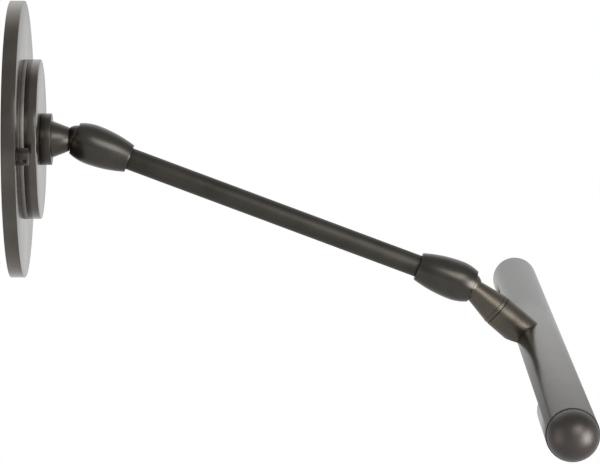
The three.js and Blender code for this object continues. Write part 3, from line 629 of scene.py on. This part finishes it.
def cap_nuts():
    for where, side in (("near", -1), ("far", 1)):
        low, high = span(f"cap_nut_{where}", 0)
        crown = high - CAP_NUT_CROWN
        outline = [
            (low, CAP_NUT_RADIUS),
            (high, CAP_NUT_RADIUS),
            (high, 0),
            (crown, 0),
            (crown, CAP_NUT_BORE),
            (low, CAP_NUT_BORE),
            (low, CAP_NUT_RADIUS),
        ]
        nut = turned(f"cap_nut_{where}_turned", outline, 64)
        tommy = rodded("tommy hole", TOMMY_BOTTOM, 5, TOMMY_RADIUS, 24)
        place = Matrix.Translation(((low + 0.68 * (high - low)) * MM, 0, 0))
        place = place @ Matrix.Rotation(radians(20), 4, "X") @ Matrix.Rotation(-pi / 2, 4, "Z")
        cut(nut, settle(tommy, place))
        soften(nut, 0.3, 3, 40)
        seat = CLOCKING @ Matrix.Translation((0, side * FIXING_RADIUS * MM, 0))
        finish_piece(nut, seat, "wall_plate", "bronze_turned", wall_turned, f"cap_nut_{where}")


backplate()
discs()
wall_stud()
cap_nuts()


# ------------------------------------------------------------------ ball joints and arm
def barrel_outline(lip):
    swell = BELLY_RADIUS - MOUTH_RADIUS
    taper = BELLY_RADIUS - TAIL_RADIUS
    taper_length = BARREL_LENGTH - BELLY_AT
    front_radius = (BELLY_AT**2 + swell**2) / (2 * swell)
    rear_radius = (taper_length**2 + taper**2) / (2 * taper)
    mouth = MOUTH - lip
    belly = mouth + BELLY_AT
    tail = mouth + BARREL_LENGTH
    chamber_end = MOUTH + CHAMBER_DEPTH
    front_deg = degrees(asin(BELLY_AT / front_radius))
    rear_deg = degrees(asin(taper_length / rear_radius))
    front = arc(belly, BELLY_RADIUS - front_radius, front_radius, 90 + front_deg, 90, 14)
    rear = arc(belly, BELLY_RADIUS - rear_radius, rear_radius, 90, 90 - rear_deg, 20)[1:]
    return [
        *front,
        *rear,
        (tail, ARM_TUBE_RADIUS + TOUCH),
        (chamber_end, ARM_TUBE_RADIUS + TOUCH),
        (chamber_end, CHAMBER_RADIUS),
        (mouth, CHAMBER_RADIUS),
        front[0],
    ]


def joint_shells(joint, place):
    barrel = turned(f"{joint}_barrel_shell", barrel_outline(LIPS[joint]))
    soften(barrel, 0.22, 3, 40)
    finish_piece(barrel, place, "arm", "bronze_turned", arm_turned, f"{joint}_barrel")
    back = MOUTH + RING_DEPTH
    back_deg, mouth_deg = degrees(acos(back / SOCKET_RADIUS)), degrees(acos(MOUTH / SOCKET_RADIUS))
    seat = arc(0, 0, SOCKET_RADIUS, back_deg, mouth_deg, 8)
    outer = CHAMBER_RADIUS - TOUCH
    ring = turned(
        f"{joint}_mouth_ring",
        [(MOUTH + 0.1, outer), (back, outer), *seat[:-1], (MOUTH + 0.1, seat[-1][1]), (MOUTH + 0.1, outer)],
    )
    finish_piece(ring, place, "arm", "bronze_turned", arm_turned, f"{joint}_retaining_ring")


def arm_tube():
    tube_end = MOUTH + CHAMBER_DEPTH + 0.6
    tube = ringed("arm_tube_drawn", tube_end, ARM_SPAN - tube_end, ARM_TUBE_BORE, ARM_TUBE_RADIUS)
    soften(tube, 0.15, 2)
    finish_piece(tube, ARM, "arm", "bronze_turned", arm_drawn, "arm_tube")


joint_shells("wall", ARM)
joint_shells("head", ARM_FAR)
arm_tube()


# ------------------------------------------------------------------ stem, stub and head
def stem_stud():
    band = STEM_FACE - BAND_WIDTH
    ball = arc(0, 0, BALL_RADIUS, 180 - BALL_BORE_DEG, degrees(asin(STEM_NECK / BALL_RADIUS)), 28)
    outline = [
        *ball,
        (band, BAND_CONE_RADIUS),
        (band + 0.05, BAND_SEAM_RADIUS),
        (band + 0.2, BAND_SEAM_RADIUS),
        (band + 0.25, BAND_RADIUS),
        (STEM_FACE, BAND_RADIUS),
        (STEM_FACE, JOURNAL_RADIUS),
        (STEM_FACE + GROOVE_FROM, JOURNAL_RADIUS),
        (STEM_FACE + GROOVE_FROM, JOURNAL_RADIUS - GROOVE_DEPTH),
        (STEM_FACE + GROOVE_TO, JOURNAL_RADIUS - GROOVE_DEPTH),
        (STEM_FACE + GROOVE_TO, JOURNAL_RADIUS),
        (STEM_FACE + JOURNAL_LENGTH, JOURNAL_RADIUS),
        (STEM_FACE + JOURNAL_LENGTH, WIRE_BORE),
        ball[0],
    ]
    stud = turned("head_ball_stud_turned", outline)
    soften(stud, 0.08, 2, 40)
    finish_piece(stud, STEM, "stem", "bronze_turned", stem_turned, "head_ball_stud")
    ring = ringed("swivel_ring_moulded", STEM_FACE + TOUCH, STEM_FACE + 0.55, JOURNAL_RADIUS + 0.1, 7.15)
    soften(ring, 0.1, 2)
    finish_piece(ring, STEM, "stem", "black_rubber", rubber, "swivel_ring")


def stub():
    face = STEM_FACE + 0.5 - HEAD_OFFSET
    over_tube = -sqrt(HEAD_RADIUS**2 - STUB_RADIUS**2) + 1
    outline = [
        (face, STUB_RADIUS),
        (over_tube, STUB_RADIUS),
        (over_tube, WIRE_BORE),
        (face + 8.4, WIRE_BORE),
        (face + 8.4, 4.8),
        (face, 4.8),
        (face, STUB_RADIUS),
    ]
    body = turned("head_stub_turned", outline)
    saddle = rodded("saddle", -15, 15, HEAD_RADIUS + TOUCH, ROUND)
    settle(saddle, Matrix.Rotation(pi / 2, 4, "Z"))
    below = block("trim", (-40, -15, -40), (0, 15, 0))
    settle(below, Matrix.Rotation(radians(-(90 - SLOT_HALF_DEG)), 4, "Y"))
    grub_hole = rodded("grub hole", 4.5, 9, 1.6, 32)
    grub_x = STEM_FACE + GRUB_AT - HEAD_OFFSET
    settle(grub_hole, Matrix.Translation((grub_x * MM, 0, 0)) @ Matrix.Rotation(pi / 2, 4, "Z"))
    cut(body, saddle, below, grub_hole)
    soften(body, 0.15, 2, 40)
    finish_piece(body, HEAD, "head", "bronze_turned", stem_turned, "head_stub")

    grub = rodded("swivel_grub_turned", 4.0, 7.25, 1.45, 32)
    bpy.ops.object.select_all(action="DESELECT")
    bpy.ops.mesh.primitive_cylinder_add(
        vertices=6, radius=0.8 * MM, depth=3 * MM, location=(7.6 * MM, 0, 0), rotation=(0, pi / 2, 0)
    )
    socket = bpy.context.object
    bpy.ops.object.transform_apply(location=True, rotation=True, scale=True)
    cut(grub, socket)
    soften(grub, 0.1, 2, 40)
    place = HEAD @ Matrix.Translation((grub_x * MM, 0, 0)) @ Matrix.Rotation(pi / 2, 4, "Z")
    finish_piece(grub, place, "head", "spring_steel", spring, "swivel_grub_screw")


def head_tube():
    tube = ringed("head_tube_drawn", -HEAD_TUBE_HALF, HEAD_TUBE_HALF, HEAD_BORE, HEAD_RADIUS, ROUND)
    # In this frame X runs along the tube, Y is away from the stub's side and Z is across.
    opening = block("opening", (-SLOT_HALF_LENGTH, -30, -30), (SLOT_HALF_LENGTH, 30, -SLOT_FLAT))
    cut(tube, opening)
    soften(tube, 0.12, 2, 40)
    finish_piece(tube, HEAD_ALONG, "head", "bronze_tube", head_drawn, "head_tube")


def end_caps():
    seam = HEAD_SEAM
    base = seam + 0.2
    base_deg = degrees(acos((base - seam) / HEAD_RADIUS))
    spigot = HEAD_BORE - 0.1
    ball = arc(seam, 0, HEAD_RADIUS, base_deg, 0, 28)
    dome = [(x, r * DOME_BASE / HEAD_RADIUS) for x, r in ball]
    dome[-1] = (seam + HEAD_RADIUS, 0)
    outline = [
        (base - CAP_SPIGOT, spigot),
        (base, spigot),
        *dome,
        (base + 4, 0),
        (base, CAP_BORE),
        (base - CAP_SPIGOT, CAP_BORE),
        (base - CAP_SPIGOT, spigot),
    ]
    for where, side in (("near", -1), ("far", 1)):
        place = HEAD @ Matrix.Rotation(side * pi / 2, 4, "Z")
        cap = turned(f"end_cap_{where}_turned", outline, ROUND)
        soften(cap, 0.1, 2, 40)
        finish_piece(cap, place, "head", "bronze_tube", head_turned, f"end_cap_{where}")
        gasket = ringed(f"end_cap_{where}_seal", seam - 0.22, seam + 0.17, spigot + 0.05, HEAD_RADIUS - 0.06)
        finish_piece(gasket, place, "head", "black_rubber", rubber, f"end_cap_gasket_{where}")


def diffuser():
    """Opal cover: a flat strip whose lower face is crowned by moving its inner rows outwards."""
    half_width, half_length = LENS_HALF_WIDTH, SLOT_HALF_LENGTH + LENS_OVERLAP
    low = (-half_length, -half_width, LENS_BOTTOM)
    lens = block("diffuser_moulded", low, (half_length, half_width, LENS_TOP))
    edit(lens)
    bpy.ops.mesh.select_all(action="SELECT")
    bpy.ops.mesh.bisect(plane_co=(0, 0, 0), plane_no=(0, 1, 0))
    rows = 12
    for i in range(1, rows):
        if i != rows // 2:
            bpy.ops.mesh.select_all(action="SELECT")
            y = (2 * i / rows - 1) * half_width * MM
            bpy.ops.mesh.bisect(plane_co=(0, y, 0), plane_no=(0, 1, 0))
    object_mode()
    for vertex in lens.data.vertices:
        share = vertex.co.y / (half_width * MM)
        vertex.co.z -= LENS_CROWN * MM * (1 - share * share)
    soften(lens, 0.15, 2, 50)
    finish_piece(lens, HEAD_ALONG, "head", "opal_acrylic", opal, "diffuser")


stem_stud()
stub()
head_tube()
end_caps()
diffuser()

# ------------------------------------------------------------------ pieces kept from the frame
KEPT = {
    "wall_strap": zinc,
    "earth_screw": green,
    "mounting_stud_near": zinc,
    "mounting_stud_far": zinc,
    "strap_nut_near": zinc,
    "strap_nut_far": zinc,
    "nipple": zinc,
    "nipple_lock_nut": zinc,
    "nipple_washer": zinc,
    "wall_lead": cable,
    "wall_liner": ptfe,
    "wall_pressure_cup": nylon,
    "wall_disc_spring": spring,
    "wall_lock_ring": zinc,
    "arm_lead": cable,
    "head_liner": ptfe,
    "head_pressure_cup": nylon,
    "head_disc_spring": spring,
    "head_lock_ring": zinc,
    "led_carrier": extruded,
    "led_board": board,
    "head_lead": cable,
    "lens_block_near": nylon,
    "lens_block_far": nylon,
    "stub_screw_near": spring,
    "stub_screw_far": spring,
    "carrier_screw_near": spring,
    "carrier_screw_far": spring,
}
for node, material in KEPT.items():
    mesh = frame["nodes"][node].data
    mesh.materials.clear()
    mesh.materials.append(material)
